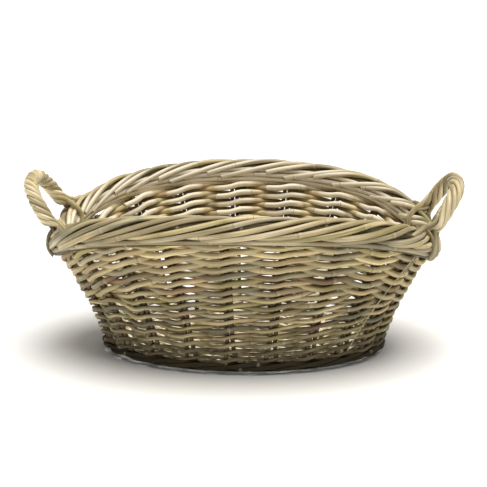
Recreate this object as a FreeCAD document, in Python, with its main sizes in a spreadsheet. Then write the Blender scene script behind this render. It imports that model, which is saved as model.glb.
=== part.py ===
"""Oval wicker laundry basket: a pierced stick base, paired stakes, cane siding that is packed higher
along the two long sides, a thick rolled border and two roped bow handles.

X runs along the basket from handle to handle, Y across it, Z up. The origin is on the floor under
the middle of the basket. All lengths are millimetres and all angles are degrees. An angle round the
basket starts at the +X handle, and the long side at -Y is called the front.
"""
import FreeCAD, Part
import math
import os

import Sketcher

Vector = FreeCAD.Vector

SIZES = {
    # the wall, on the line of the stakes
    "base_half_length": 203,        # along X at floor level
    "base_half_width": 121,         # along Y at floor level
    "top_half_length": 266,         # at the underside of the border, at the handles
    "top_half_width": 179,          # at the underside of the border, in the middle of the long sides
    "wall_end_height": 152,         # floor to the border's underside at the handles
    "side_rise": 63,                # how much higher that is in the middle of the long sides
    # siding
    "weaver_dia": 6.4,
    "skin_thickness": 6.9,          # one layer of weavers, with the crimp that the stakes give it
    "weave_gap": 2.4,               # what the outer and the inner weavers leave free round the stakes
    "row_clearance": 0.3,           # between one band of rows and the next
    "upsett_bottom": 7,             # lower edge of the first outside row
    "siding_bottom": 22,            # lower edge of the lower siding
    "packing_bottom": 84,           # lower edge of the packed rows
    "packing_angle": 12,            # where round the oval the packed rows taper out
    # stakes
    "stake_dia": 6.4,
    "pair_gap": 1.0,                # free space between the two stakes of a pair
    "cross_insert": 20,             # length of a stake inside the base, beside a cross stick
    "long_insert": 6,               # the same beside the end of a long stick
    "pairing_height": 30,           # height in which a stake comes in from its base stick to its pair
    # base
    "cross_stick_dia": 9,
    "cross_stick_count": 6,
    "first_cross_angle": 45.6,      # the first cross stick's end, round the oval
    "cross_step_angle": 16.1,       # and the step to the next one
    "long_stick_dia": 6.4,
    "long_stick_count": 5,
    "long_stick_gap": 3.0,
    "fan_start": 10,                # from the last cross stick to the bend where the long sticks fan out
    "fan_bend_share": 0.2,          # how much of the fanned run that bend takes up
    "stick_bore_clearance": 0.05,
    "stick_clearance": 0.2,         # between a base stick and the layers and stakes beside it
    "base_lift": 6.5,               # floor to the underside of the base weave
    "base_edge_inset": 8,           # from the stake line at floor level to the edge of the base weave
    "foot_width": 9,
    "foot_inset": 12,               # from the stake line at floor level to the middle of the foot ring
    "foot_fillet": 2,
    # border
    "border_height": 38,
    "border_width": 28,
    "border_chamfer": 9,
    # handles
    "handle_foot_angle": 23.5,
    "handle_core_dia": 7,
    "handle_core_depth": 40,        # how far the core goes down below the border's underside
    "handle_wrap_dia": 24,
    "handle_wrap_start": 1,         # from the border's top to the start of the wrapping
    "handle_rise": 71,              # border top at the handles to the middle of the grip
    "handle_lean": 50,              # how far the grip stands outside its feet
    "handle_leg_share": 0.53,       # height of the bow's straight legs as a share of its height
    "handle_shoulder_share": 0.62,  # half span at its shoulders as a share of the span at its feet
    "handle_shoulder_height": 0.95,
    "handle_clearance": 0.3,
    "tail_dia": 6.4,
    "tail_spread": 9,               # from the middle of a handle's foot to each of its two tails
    "tail_clearance": 1.2,          # between the tails and the border or wall that they lie against
    "tail_top": 6,                  # from the tails' upper ends to the border's top
    "tail_tuck": 15,                # from the border's underside down to their lower ends
}


def make_sheet(doc):
    sheet = doc.addObject("Spreadsheet::Sheet", "sizes")
    for row, (name, value) in enumerate(SIZES.items(), start=1):
        sheet.set(f"A{row}", name)
        sheet.set(f"B{row}", str(value))
        sheet.setAlias(f"B{row}", name)
    doc.recompute()
    return sheet


class Basket:
    """The basket's lines and surfaces, worked out from the sheet's cells."""

    def __init__(self, sheet):
        for name in SIZES:
            setattr(self, name, float(getattr(sheet, name)))
        self.cross_stick_count = int(self.cross_stick_count)
        self.long_stick_count = int(self.long_stick_count)
        self.side_height = self.wall_end_height + self.side_rise
        stick_room = self.cross_stick_dia + 2 * self.stick_clearance
        self.stick_level = self.base_lift + self.weaver_dia + stick_room / 2
        self.base_top = self.base_lift + 2 * self.weaver_dia + stick_room
        wall_lean = self.half_length(self.stick_level) - self.base_half_length
        self.stick_end_room = wall_lean + self.base_edge_inset
        self.skin_near = (self.stake_dia + self.weave_gap) / 2
        self.skin_far = self.skin_near + self.skin_thickness

    def arch(self, angle):
        """0 at the handles, 1 in the middle of the long sides."""
        s2 = math.sin(math.radians(angle)) ** 2
        return 1.5 * s2 - 0.5 * s2 * s2

    def wall_top(self, angle):
        return self.wall_end_height + self.side_rise * self.arch(angle)

    def packing_top(self, angle):
        return self.packing_bottom + self.side_rise * self.arch(angle)

    def flare(self, base, top, share):
        """A half axis of the stake line's oval: the wall starts steep and leans out as it rises."""
        return base + (top - base) * (share + share * share) / 2

    def half_length(self, z):
        return self.flare(self.base_half_length, self.top_half_length, z / self.wall_end_height)

    def half_width(self, z):
        return self.flare(self.base_half_width, self.top_half_width, z / self.side_height)

    def point(self, angle, z, offset=0.0):
        """A point of the wall, offset outwards from the stake line."""
        a = math.radians(angle)
        x = (self.half_length(z) + offset) * math.cos(a)
        y = (self.half_width(z) + offset) * math.sin(a)
        return Vector(x, y, z)

    def border_point(self, angle, rise, offset):
        """A point of the border's section: rise above its underside, offset from its middle."""
        spot = self.point(angle, self.wall_top(angle) + self.border_height / 2, offset)
        spot.z = self.wall_top(angle) + rise
        return spot

    def along(self, angle, z):
        """How the stake line moves per radian of angle."""
        a = math.radians(angle)
        return Vector(-self.half_length(z) * math.sin(a), self.half_width(z) * math.cos(a), 0)

    def angle_beside(self, angle, z, side_step, shift):
        """The angle at which the stake line is a given distance to the side of its point at an angle."""
        long_part = self.half_length(z) * side_step.x
        wide_part = self.half_width(z) * side_step.y
        place = self.point(angle, z).dot(side_step) + shift
        middle = math.degrees(math.atan2(wide_part, long_part))
        turn = math.degrees(math.acos(place / math.hypot(long_part, wide_part)))
        return min(middle + turn, middle - turn, key=lambda one: abs((one - angle + 180) % 360 - 180))

    def cross_angles(self):
        step = self.cross_step_angle
        return [self.first_cross_angle + step * number for number in range(self.cross_stick_count)]

    def fan_angles(self, free_angle):
        """The long sticks' ends, evenly spread over an end of the oval that has no cross sticks."""
        step = 2 * free_angle / (self.long_stick_count + 1)
        return [-free_angle + step * (number + 1) for number in range(self.long_stick_count)]

    def long_stick_rows(self):
        pitch = self.long_stick_dia + self.long_stick_gap
        middle = (self.long_stick_count - 1) / 2
        return [(number - middle) * pitch for number in range(self.long_stick_count)]

    def handle_points(self, side):
        """One leg of the +X handle's bow, from inside the wall to the shoulder, at +Y or -Y."""
        angle = side * self.handle_foot_angle
        underside = self.wall_top(angle)
        foot = self.point(angle, underside + self.border_height / 2)
        crest = self.handle_crest()
        leg = foot + (crest - foot) * self.handle_leg_share
        leg.y = foot.y
        shoulder = foot + (crest - foot) * self.handle_shoulder_height
        shoulder.y = foot.y * self.handle_shoulder_share
        inside = [self.point(angle, underside - self.handle_core_depth * share) for share in (1, 0.5, 0)]
        return inside + [foot, leg, shoulder]

    def handle_crest(self):
        foot_z = self.wall_top(self.handle_foot_angle) + self.border_height / 2
        x = self.point(self.handle_foot_angle, foot_z).x + self.handle_lean
        return Vector(x, 0, self.wall_end_height + self.border_height + self.handle_rise)


def rounded_path(points, bend_share):
    """Straight runs joined by tangent arcs, each as large as its two runs allow."""
    edges = []
    start = points[0]
    for before, corner, after in zip(points, points[1:], points[2:]):
        run_in = corner - before
        run_out = after - corner
        half_turn = run_in.getAngle(run_out) / 2
        if half_turn < math.radians(0.1):
            continue
        trim = bend_share * min(run_in.Length, run_out.Length)
        radius = trim / math.tan(half_turn)
        arc_start = corner - run_in.normalize() * trim
        arc_end = corner + run_out.normalize() * trim
        inward = (arc_start + arc_end - corner * 2).normalize()
        arc_middle = corner + inward * (radius / math.cos(half_turn) - radius)
        edges.append(Part.LineSegment(start, arc_start).toShape())
        edges.append(Part.Arc(arc_start, arc_middle, arc_end).toShape())
        start = arc_end
    edges.append(Part.LineSegment(start, points[-1]).toShape())
    return Part.Wire(edges)


def rod(points, diameter, bore=0.0, bend_share=0.45):
    """A round rod, or a tube if it has a bore, along the rounded path through the points."""
    path = rounded_path(points, bend_share)
    direction = points[1] - points[0]
    section = Part.Face(Part.Wire(Part.makeCircle(diameter / 2, points[0], direction)))
    if bore:
        hole = Part.Face(Part.Wire(Part.makeCircle(bore / 2, points[0], direction)))
        section = section.cut(hole).Faces[0]
    solid = path.makePipe(section)
    expected = math.pi * (diameter ** 2 - bore ** 2) / 4 * path.Length
    if not solid.isValid() or abs(solid.Volume / expected - 1) > 0.01:
        raise RuntimeError(f"rod volume {solid.Volume:.0f} is not section times length, {expected:.0f}")
    return solid


def oval_ring(corners, first=0.0, last=360.0):
    """A solid round the basket. Each corner is a function that gives the section's corner at an
    angle. A ring that doesn't go all the way round is closed across the section at each end."""
    closed = last - first == 360.0
    steps = 48 if closed else 30
    count = steps if closed else steps + 1
    edges = []
    for corner in corners:
        curve = Part.BSplineCurve()
        places = [corner(first + (last - first) * number / steps) for number in range(count)]
        curve.interpolate(places, PeriodicFlag=closed)
        edges.append(curve.toShape())
    faces = [Part.makeRuledSurface(one, other) for one, other in zip(edges, edges[1:] + edges[:1])]
    if not closed:
        for angle in (first, last):
            places = [corner(angle) for corner in corners]
            half = len(places) // 2
            rungs = [Part.LineSegment(places[n], places[-1 - n]).toShape() for n in range(half)]
            faces += [Part.makeRuledSurface(one, other) for one, other in zip(rungs, rungs[1:])]
    shell = Part.makeShell(faces)
    shell.sewShape()
    solid = Part.Solid(shell if shell.ShapeType == "Shell" else shell.Shells[0])
    if solid.Volume < 0:
        solid.reverse()
    return solid


def skin(basket, low, high, side, first=0.0, last=360.0, levels=3):
    """One layer of weavers between two heights, outside the stakes (side 1) or inside (side -1)."""
    shares = [number / levels for number in range(levels + 1)]
    near_line = [(share, basket.skin_near) for share in shares]
    far_line = [(share, basket.skin_far) for share in reversed(shares)]

    def corner(share, distance):
        def place(angle):
            return basket.point(angle, low(angle) + (high(angle) - low(angle)) * share, side * distance)
        return place

    return oval_ring([corner(*spot) for spot in near_line + far_line], first, last)


def feature(doc, label, shape, turn=0.0):
    """A sub-part with a computed shape, turned about Z."""
    item = doc.addObject("Part::Feature", label)
    item.Label = label
    item.Shape = shape
    item.Placement = FreeCAD.Placement(Vector(0, 0, 0), FreeCAD.Rotation(Vector(0, 0, 1), turn))
    return item


def oval_body(doc, label, ovals, level, height, fillet=None):
    """A body: a sketch of one or two ovals on the XY plane, padded up from a level."""
    body = doc.addObject("PartDesign::Body", label)
    body.Label = label
    sketch = body.newObject("Sketcher::SketchObject", label + "_outline")
    plane = next(item for item in body.Origin.OriginFeatures if item.Role == "XY_Plane")
    sketch.AttachmentSupport = [(plane, "")]
    sketch.MapMode = "FlatFace"
    sketch.setExpression("AttachmentOffset.Base.z", level)
    for number, (half_length, half_width) in enumerate(ovals):
        start_length = 150 - 10 * number
        start_width = 90 - 10 * number
        oval = sketch.addGeometry(Part.Ellipse(Vector(0, 0, 0), start_length, start_width))
        sketch.exposeInternalGeometry(oval)
        sketch.addConstraint(Sketcher.Constraint("Coincident", oval, 3, -1, 1))
        sketch.addConstraint(Sketcher.Constraint("Horizontal", oval + 1))
        long_axis = sketch.addConstraint(Sketcher.Constraint("Distance", oval + 1, 2 * start_length))
        short_axis = sketch.addConstraint(Sketcher.Constraint("Distance", oval + 2, 2 * start_width))
        sketch.setExpression(f"Constraints[{long_axis}]", f"2 * ({half_length})")
        sketch.setExpression(f"Constraints[{short_axis}]", f"2 * ({half_width})")
    pad = body.newObject("PartDesign::Pad", label + "_pad")
    pad.Profile = sketch
    pad.setExpression("Length", height)
    doc.recompute()
    if fillet:
        edges = pad.Shape.Edges
        flat = [f"Edge{number + 1}" for number, edge in enumerate(edges) if edge.BoundBox.ZLength < 0.001]
        rounded = body.newObject("PartDesign::Fillet", label + "_fillet")
        rounded.Base = (pad, flat)
        rounded.setExpression("Radius", fillet)
        doc.recompute()
    return body


def make_base_layers(doc):
    """The two layers of the base weave and the foot ring under them."""
    half_length = "sizes.base_half_length - sizes.base_edge_inset"
    half_width = "sizes.base_half_width - sizes.base_edge_inset"
    above_sticks = "sizes.base_lift + sizes.weaver_dia + sizes.cross_stick_dia + 2 * sizes.stick_clearance"
    foot_ovals = [
        (f"sizes.base_half_length - sizes.foot_inset {sign} sizes.foot_width / 2",
         f"sizes.base_half_width - sizes.foot_inset {sign} sizes.foot_width / 2")
        for sign in "+-"
    ]
    foot_height = "sizes.base_lift - sizes.stick_clearance"
    weave_oval = [(half_length, half_width)]
    return [
        oval_body(doc, "base_weave_under", weave_oval, "sizes.base_lift", "sizes.weaver_dia"),
        oval_body(doc, "base_weave_upper", weave_oval, above_sticks, "sizes.weaver_dia"),
        oval_body(doc, "foot_ring", foot_ovals, "0", foot_height, "sizes.foot_fillet"),
    ]


def flare_text(base, top, share):
    """Basket.flare, as an expression on the sheet."""
    return f"(sizes.{base} + (sizes.{top} - sizes.{base}) * ({share} + {share} ^ 2) / 2)"


def make_cross_sticks(doc, basket):
    """Round sticks along Y, bored for the long sticks that run through them."""
    bores = []
    for number, row in enumerate(basket.long_stick_rows(), start=1):
        bore = doc.addObject("Part::Cylinder", f"stick_bore_{number}")
        bore.setExpression("Radius", "sizes.long_stick_dia / 2 + sizes.stick_bore_clearance")
        bore.setExpression("Height", "2 * sizes.base_half_length")
        start = Vector(0, row, basket.stick_level)
        bore.Placement = FreeCAD.Placement(start, FreeCAD.Rotation(Vector(0, 1, 0), 90))
        bore.setExpression("Placement.Base.x", "-sizes.base_half_length")
        bores.append(bore)
    all_bores = doc.addObject("Part::Compound", "stick_bores")
    all_bores.Links = bores
    level = "(sizes.base_lift + sizes.weaver_dia + sizes.stick_clearance + sizes.cross_stick_dia / 2)"
    half_length = flare_text("base_half_length", "top_half_length", f"({level} / sizes.wall_end_height)")
    side_share = f"({level} / (sizes.wall_end_height + sizes.side_rise))"
    half_width = flare_text("base_half_width", "top_half_width", side_share)
    end_room = f"({half_length} - sizes.base_half_length + sizes.base_edge_inset)"
    made = []
    for number in range(basket.cross_stick_count):
        angle = f"((sizes.first_cross_angle + {number} * sizes.cross_step_angle) * 1deg)"
        half = f"({half_width} * sin({angle}) - {end_room})"
        blank = doc.addObject("Part::Cylinder", f"stick_blank_{number + 1}")
        start = Vector(0, 0, basket.stick_level)
        blank.Placement = FreeCAD.Placement(start, FreeCAD.Rotation(Vector(1, 0, 0), -90))
        blank.setExpression("Radius", "sizes.cross_stick_dia / 2")
        blank.setExpression("Height", f"2 * {half}")
        blank.setExpression("Placement.Base.x", f"{half_length} * cos({angle})")
        blank.setExpression("Placement.Base.y", f"-{half}")
        stick = doc.addObject("Part::Cut", f"cross_stick_{number + 1}")
        stick.Label = f"cross_stick_{number + 1}"
        stick.Base = blank
        stick.Tool = all_bores
        made.append(stick)
    return made


def long_stick_ends(basket, row, left, right):
    """For each end of a long stick, -X first: its bend, its direction beyond the bend, and its tip."""
    angles = basket.cross_angles()
    level = basket.stick_level
    ends = []
    for angle, last_cross, outwards in ((left, angles[-1], -1), (right, angles[0], 1)):
        beyond = outwards * (basket.cross_stick_dia / 2 + basket.fan_start)
        bend = Vector(basket.point(last_cross, level).x + beyond, row, level)
        at_wall = basket.point(angle, level)
        direction = (at_wall - bend).normalize()
        ends.append((bend, direction, at_wall - direction * basket.stick_end_room))
    return ends


def longest_bend(basket, direction):
    """How far a long stick's bend may reach back: as far as the clearance of the bore in the last
    cross stick lets it."""
    turn = max(abs(direction.y), 0.1)
    return basket.fan_start + math.sqrt(4 * basket.stick_bore_clearance * basket.fan_start / turn)


def stake_pair(basket, border, angle, stick_direction, stick_dia, insert):
    """Two stakes that lie beside the end of a base stick, turn up, and run side by side to the
    border, where they stop at its surface."""
    level = basket.stick_level
    side_step = Vector(-stick_direction.y, stick_direction.x, 0)
    length_inside = basket.stick_end_room + insert
    base_shift = (stick_dia + basket.stake_dia) / 2 + basket.stick_clearance
    wall_shift = (basket.stake_dia + basket.pair_gap) / 2
    paired_at = level + basket.pairing_height
    top = basket.wall_top(angle)
    runs = 4
    heights = [paired_at + (top - paired_at) * number / runs for number in range(runs + 1)]
    rods = []
    for side in (-1, 1):
        corner = basket.point(basket.angle_beside(angle, level, side_step, side * base_shift), level)
        points = [corner - stick_direction * length_inside, corner]
        for z in heights:
            wall_turn = side * wall_shift / basket.along(angle, z).Length
            points.append(basket.point(angle + math.degrees(wall_turn), z))
        rods += rod(points, basket.stake_dia).cut(border).Solids
    return Part.makeCompound(rods)


def make_sticks_and_stakes(doc, basket, border):
    made = make_cross_sticks(doc, basket)
    ends = []
    for angle in basket.cross_angles():
        for side in (1, -1):
            direction = Vector(0, side, 0)
            ends.append((side * angle, direction, basket.cross_stick_dia, basket.cross_insert))
    angles = basket.cross_angles()
    right_angles = basket.fan_angles(angles[0])
    left_angles = [180 - angle for angle in basket.fan_angles(180 - angles[-1])]
    long_sticks = zip(basket.long_stick_rows(), left_angles, right_angles)
    for number, (row, left, right) in enumerate(long_sticks, start=1):
        left_end, right_end = long_stick_ends(basket, row, left, right)
        line = [left_end[2], left_end[0], right_end[0], right_end[2]]
        shares = [longest_bend(basket, end[1]) / (end[2] - end[0]).Length for end in (left_end, right_end)]
        stick = rod(line, basket.long_stick_dia, bend_share=min(basket.fan_bend_share, *shares))
        made.append(feature(doc, f"long_stick_{number}", stick))
        ends.append((left, left_end[1], basket.long_stick_dia, basket.long_insert))
        ends.append((right, right_end[1], basket.long_stick_dia, basket.long_insert))
    ends.sort(key=lambda end: end[0] % 360)
    for number, end in enumerate(ends, start=1):
        made.append(feature(doc, f"stake_pair_{number:02d}", stake_pair(basket, border, *end)))
    return made


def make_siding(doc, basket, border):
    """The wall's bands of rows. Each has an outer and an inner layer of weavers round the stakes,
    and the upper ones stop at the border's surface."""
    clearance = basket.row_clearance
    inner_bottom = basket.base_top + clearance

    def level(z):
        return lambda angle: z

    def packing_low(angle):
        return basket.packing_bottom + clearance

    def packing_high(angle):
        return basket.packing_top(angle) - clearance

    def siding_high(angle):
        return basket.wall_top(angle) - clearance

    upsett_top = level(basket.siding_bottom - clearance)
    upsett = skin(basket, level(basket.upsett_bottom), upsett_top, 1, levels=1)
    lower_top = level(basket.packing_bottom)
    lower = [
        skin(basket, level(basket.siding_bottom), lower_top, 1),
        skin(basket, level(inner_bottom), lower_top, -1),
    ]
    first = basket.packing_angle
    last = 180 - first
    packing = [skin(basket, packing_low, packing_high, side, first, last, levels=4) for side in (1, -1)]
    upper = []
    for side in (1, -1):
        upper += skin(basket, basket.packing_top, siding_high, side).cut(border).Solids
    return [
        feature(doc, "upsett", upsett),
        feature(doc, "lower_siding", Part.makeCompound(lower)),
        feature(doc, "packing_back", Part.makeCompound(packing)),
        feature(doc, "packing_front", Part.makeCompound(packing), turn=180),
        feature(doc, "upper_siding", Part.makeCompound(upper)),
    ]


def border_shape(basket):
    """A ring with chamfered edges that follows the wall's rise, bored for the handle cores."""
    half = basket.border_width / 2
    cut = basket.border_chamfer
    high = basket.border_height
    section = [(0, half - cut), (cut, half), (high - cut, half), (high, half - cut),
               (high, cut - half), (high - cut, -half), (cut, -half), (0, cut - half)]

    def corner(rise, offset):
        return lambda angle: basket.border_point(angle, rise, offset)

    ring = oval_ring([corner(*spot) for spot in section])
    bore = basket.handle_core_dia + 2 * basket.handle_clearance
    for side in (1, -1):
        leg = basket.handle_points(side)[:5]
        hole = rod(leg, bore)
        ring = ring.cut(hole)
        hole.rotate(Vector(0, 0, 0), Vector(0, 0, 1), 180)
        ring = ring.cut(hole)
    return ring


def handle_wrap(basket):
    """The wrapping: a tube round the core, from just above the border at one foot to the other."""
    legs = [basket.handle_points(side)[3:] for side in (1, -1)]
    bore = basket.handle_core_dia + 2 * basket.handle_clearance
    wrap = rod(legs[0] + [basket.handle_crest()] + legs[1][::-1], basket.handle_wrap_dia, bore)
    for foot, leg, shoulder in legs:
        out = (leg - foot).normalize()
        unwrapped = basket.border_height / 2 / out.z + basket.handle_wrap_start
        below = foot - out * basket.handle_wrap_dia
        cut_height = basket.handle_wrap_dia + unwrapped
        wrap = wrap.cut(Part.makeCylinder(basket.handle_wrap_dia, cut_height, below, out))
    return wrap


def handle_tails(basket):
    """Two cane tails at each foot, down the outside of the border and in under it to the wall."""
    border_offset = (basket.border_width + basket.tail_dia) / 2 + basket.tail_clearance
    wall_offset = basket.skin_far + basket.tail_dia / 2 + basket.tail_clearance
    rods = []
    for foot in (1, -1):
        middle = foot * basket.handle_foot_angle
        step = math.degrees(basket.tail_spread / basket.along(middle, basket.wall_top(middle)).Length)
        for angle in (middle - step, middle + step):
            rods.append(rod([
                basket.border_point(angle, basket.border_height - basket.tail_top, border_offset),
                basket.border_point(angle, 0, border_offset),
                basket.point(angle, basket.wall_top(angle) - basket.tail_tuck, wall_offset),
            ], basket.tail_dia))
    return Part.makeCompound(rods)


def make_handles(doc, basket):
    one_leg = basket.handle_points(1)
    other_leg = basket.handle_points(-1)
    core = rod(one_leg + [basket.handle_crest()] + other_leg[::-1], basket.handle_core_dia)
    shapes = {
        "handle_core": core,
        "handle_wrap": handle_wrap(basket),
        "handle_tails": handle_tails(basket),
    }
    made = []
    for name, shape in shapes.items():
        made.append(feature(doc, name + "_right", shape))
        made.append(feature(doc, name + "_left", shape, turn=180))
    return made


def write_parts(doc, parts):
    doc.recompute()
    for item in doc.Objects:
        if "Invalid" in item.State or "Error" in item.State:
            raise RuntimeError(f"{item.Label} did not recompute: {item.State}")
    for item in parts:
        if item.Shape.isNull() or not item.Shape.isValid() or not item.Shape.Solids:
            raise RuntimeError(f"{item.Label} has no valid solid")
    os.makedirs("parts", exist_ok=True)
    for item in parts:
        item.Shape.exportStep(f"parts/{item.Label}.step")
    print(len(parts), "sub-parts written")


def main():
    doc = FreeCAD.newDocument("wicker_basket")
    basket = Basket(make_sheet(doc))
    parts = make_base_layers(doc)
    border = border_shape(basket)
    parts += make_sticks_and_stakes(doc, basket, border)
    parts += make_siding(doc, basket, border)
    parts.append(feature(doc, "border", border))
    parts += make_handles(doc, basket)
    write_parts(doc, parts)


main()
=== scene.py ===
import math

import bpy
import numpy as np
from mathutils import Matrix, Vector


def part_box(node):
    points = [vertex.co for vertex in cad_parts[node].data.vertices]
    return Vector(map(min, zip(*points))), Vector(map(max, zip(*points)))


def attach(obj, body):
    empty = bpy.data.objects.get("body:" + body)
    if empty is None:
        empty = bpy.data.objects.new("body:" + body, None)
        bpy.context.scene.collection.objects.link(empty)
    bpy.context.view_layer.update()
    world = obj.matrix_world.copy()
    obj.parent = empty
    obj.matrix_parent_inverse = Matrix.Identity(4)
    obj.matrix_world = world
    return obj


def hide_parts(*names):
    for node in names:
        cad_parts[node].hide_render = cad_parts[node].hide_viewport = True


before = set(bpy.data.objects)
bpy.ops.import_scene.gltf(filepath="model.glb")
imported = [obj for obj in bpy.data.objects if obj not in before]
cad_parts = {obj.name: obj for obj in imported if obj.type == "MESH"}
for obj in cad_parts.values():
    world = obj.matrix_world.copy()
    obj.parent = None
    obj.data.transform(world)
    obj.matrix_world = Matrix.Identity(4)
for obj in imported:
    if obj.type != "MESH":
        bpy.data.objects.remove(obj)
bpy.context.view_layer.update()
print("frame loaded:", len(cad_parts), "nodes")


# the wall: an oval that leans out as it rises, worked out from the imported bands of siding

wallShape = {
    "stakeRadius": 0.0032,
    "levelRows": 6,         # full rows below the packing
    "packedRows": 5,        # short rows that lift the long sides
    "archedRows": 6,        # full rows above them
    "topGap": -0.002,       # how far the rows stop short of the border: below 0, they reach into it
}


def nodeBox(name):
    low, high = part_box(name)
    return np.array(low), np.array(high)


def flareShare(share):
    # the wall leans out more and more as it rises
    return (share + share * share) / 2


def readWall():
    upsett, lower, upper, border = (nodeBox(n) for n in ("upsett", "lower_siding", "upper_siding", "border"))
    clearance = lower[0][2] - upsett[1][2]
    wall = dict(wallShape)
    wall["bottom"] = upsett[0][2]
    wall["endHeight"] = border[0][2]
    wall["sideHeight"] = upper[1][2] + clearance
    wall["borderHeight"] = border[1][2] - wall["sideHeight"]
    wall["borderHalf"] = (border[1][1] - border[0][1]) / 2

    def axis(number, height, highZ):
        # from the width of two bands: how much the wall leans out, and where its outer face starts
        lean = flareShare(highZ / height) - flareShare(lower[1][2] / height)
        spread = (upper[1][number] - lower[1][number]) / lean
        return spread, upper[1][number] - spread * flareShare(highZ / height)

    longSpread, longFace = axis(0, wall["endHeight"], wall["endHeight"] - clearance)
    wideSpread, wideFace = axis(1, wall["sideHeight"], upper[1][2])
    slope = 1.5 * longSpread / wall["endHeight"]
    topLength = nodeBox("stake_pair_01")[1][0] - wall["stakeRadius"] / math.hypot(1, slope)
    wall["faceOut"] = longFace + longSpread - topLength
    wall["baseLength"] = longFace - wall["faceOut"]
    wall["topLength"] = topLength
    wall["baseWidth"] = wideFace - wall["faceOut"]
    wall["topWidth"] = wall["baseWidth"] + wideSpread
    wall["rowPitch"] = (wall["endHeight"] - wall["bottom"]) / (wall["levelRows"] + wall["archedRows"])
    return wall


wall = readWall()


def halfLength(z):
    return wall["baseLength"] + (wall["topLength"] - wall["baseLength"]) * flareShare(z / wall["endHeight"])


def halfWidth(z):
    return wall["baseWidth"] + (wall["topWidth"] - wall["baseWidth"]) * flareShare(z / wall["sideHeight"])


def arch(angle):
    # 0 at the handles and 1 in the middle of the long sides
    share = np.sin(angle) ** 2
    return 1.5 * share - 0.5 * share * share


def wallTop(angle):
    return wall["endHeight"] + (wall["sideHeight"] - wall["endHeight"]) * arch(angle)


def wallPoint(angle, z, out):
    x = (halfLength(z) + out) * np.cos(angle)
    y = (halfWidth(z) + out) * np.sin(angle)
    return np.stack([x, y, z + 0 * x], axis=-1)


def borderPoint(angle, rise, out):
    spot = wallPoint(angle, wallTop(angle) + wall["borderHeight"] / 2, out)
    spot[..., 2] = wallTop(angle) + rise
    return spot


def readStakes():
    # the angle round the basket of each stake pair, at its top
    angles = []
    for name in sorted(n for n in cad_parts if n.startswith("stake_pair")):
        points = np.array([v.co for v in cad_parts[name].data.vertices])
        top = points[points[:, 2] > points[:, 2].max() - 0.004].mean(0)
        angles.append(math.atan2(top[1] / halfWidth(top[2]), top[0] / halfLength(top[2])) % (2 * math.pi))
    angles[0] = 0.0
    return np.array(angles)


stakeAngles = readStakes()
stakeCount = len(stakeAngles)
stakeMarks = np.append(stakeAngles, 2 * math.pi)
stakeStep = 0.06    # roughly the metres from one stake to the next, for slow waves along a cane


def stakeAt(place):
    # the angle at a place counted in stakes: 0 at the +X handle, 0.5 half way to the next stake
    laps = np.floor(place / stakeCount)
    return np.interp(place - laps * stakeCount, np.arange(stakeCount + 1), stakeMarks) + laps * 2 * math.pi


def smoothStep(value):
    value = np.clip(value, 0, 1)
    return value * value * (3 - 2 * value)


rowCount = wall["levelRows"] + wall["packedRows"] + wall["archedRows"]


def placeOf(angle):
    # the place of an angle: the opposite of stakeAt, within one lap
    return np.interp(np.mod(angle, 2 * math.pi), stakeMarks, np.arange(stakeCount + 1))


def packedAt(number):
    # 1 at each stake that a packed row passes, 0 at the others
    rise = wall["sideHeight"] - wall["endHeight"]
    return (rise * arch(stakeMarks) / wall["rowPitch"] > number + 0.5).astype(float)


def rowShares(angle):
    # how much of the wall each row takes at an angle: a packed row opens between two stakes
    place = placeOf(angle)
    low = np.minimum(np.floor(place).astype(int), stakeCount - 1)
    shares = np.ones((rowCount,) + np.shape(angle))
    for number in range(wall["packedRows"]):
        packed = packedAt(number)
        share = packed[low] + (packed[low + 1] - packed[low]) * smoothStep(place - low)
        shares[wall["levelRows"] + number] = share
    return shares


def rowThicknessAt(angle):
    return (wallTop(angle) - wall["topGap"] - wall["bottom"]) / rowShares(angle).sum(0)


def wallLean(angle, z):
    # how far the wall leans out from upright
    longSlope = (wall["topLength"] - wall["baseLength"]) * (0.5 + z / wall["endHeight"]) / wall["endHeight"]
    wideSlope = (wall["topWidth"] - wall["baseWidth"]) * (0.5 + z / wall["sideHeight"]) / wall["sideHeight"]
    return np.arctan(np.hypot(longSlope * np.cos(angle), wideSlope * np.sin(angle)))


def rowHeight(row, angle):
    shares = rowShares(angle)
    filled = (shares[:row].sum(0) + shares[row] / 2) / shares.sum(0)
    top = wallTop(angle) - wall["topGap"]
    return wall["bottom"] + (top - wall["bottom"]) * filled


print("wall read:", stakeCount, "stake pairs,", rowCount, "rows")


# canes: round rods swept along a line, gathered into one mesh for each piece

cane = {
    "sides": 10,
    "nodeSpacing": 0.21,    # between the cane's own growth rings
    "nodeSwell": 0.07,
    "nodeWidth": 0.0035,
    "unevenness": 0.025,
    "flatness": 0.04,
    "slant": 0.5,           # how slanted a cut end is
    "plainShading": 0.35,      # painted shade all round a cane that isn't told where it is open
}


def newBundle():
    names = ("points", "quads", "caps", "coord", "tone", "cut", "soil")
    return {**{name: [] for name in names}, "size": 0}


def slowWave(rng, along, wavelength, size):
    total = 0
    for part in (1.0, 0.57, 0.31):
        total = total + part * np.sin(2 * math.pi * along / (wavelength * part) + rng.uniform(0, 2 * math.pi))
    return size * total / 1.4


def smoothLine(line, rounds):
    # evens out corners and keeps the ends
    for _ in range(rounds):
        line[1:-1] = (line[:-2] + 2 * line[1:-1] + line[2:]) / 4
    return line


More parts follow.
